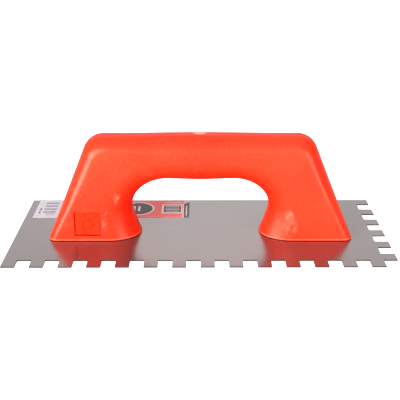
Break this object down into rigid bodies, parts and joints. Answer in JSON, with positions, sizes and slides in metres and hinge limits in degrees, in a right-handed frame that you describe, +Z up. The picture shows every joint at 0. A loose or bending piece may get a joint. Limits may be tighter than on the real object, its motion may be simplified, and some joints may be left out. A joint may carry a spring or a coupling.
{
  "type": "notched trowel",
  "caption": "Flat rectangular adhesive trowel with square notches along the front edge and one end, and a closed two-foot moulded handle.",
  "frame": {"origin": "on the underside of the blade, below the middle of its length and width", "axes": "+X along the blade towards its notched end, +Y across it towards the plain rear edge, +Z up through the grip"},
  "size_m": [0.28, 0.12, 0.0788],
  "materials": {
    "blade_steel": "cold-rolled stainless sheet, satin to polished, fine lengthwise rolling lines",
    "handle_plastic": "moulded red polypropylene, semi-gloss with a fine moulded skin",
    "label": "coated paper label, white and red with plain dark blocks",
    "screw_zinc": "bright zinc-plated steel"
  },
  "bodies": {
    "root": {"blade": "blade_steel", "handle_front_shell": "handle_plastic", "handle_rear_shell": "handle_plastic", "product_label": "label", "screw_left_front_outer": "screw_zinc", "screw_left_front_inner": "screw_zinc", "screw_left_rear_outer": "screw_zinc", "screw_left_rear_inner": "screw_zinc", "screw_right_front_outer": "screw_zinc", "screw_right_front_inner": "screw_zinc", "screw_right_rear_outer": "screw_zinc", "screw_right_rear_inner": "screw_zinc"}
  },
  "joints": []
}
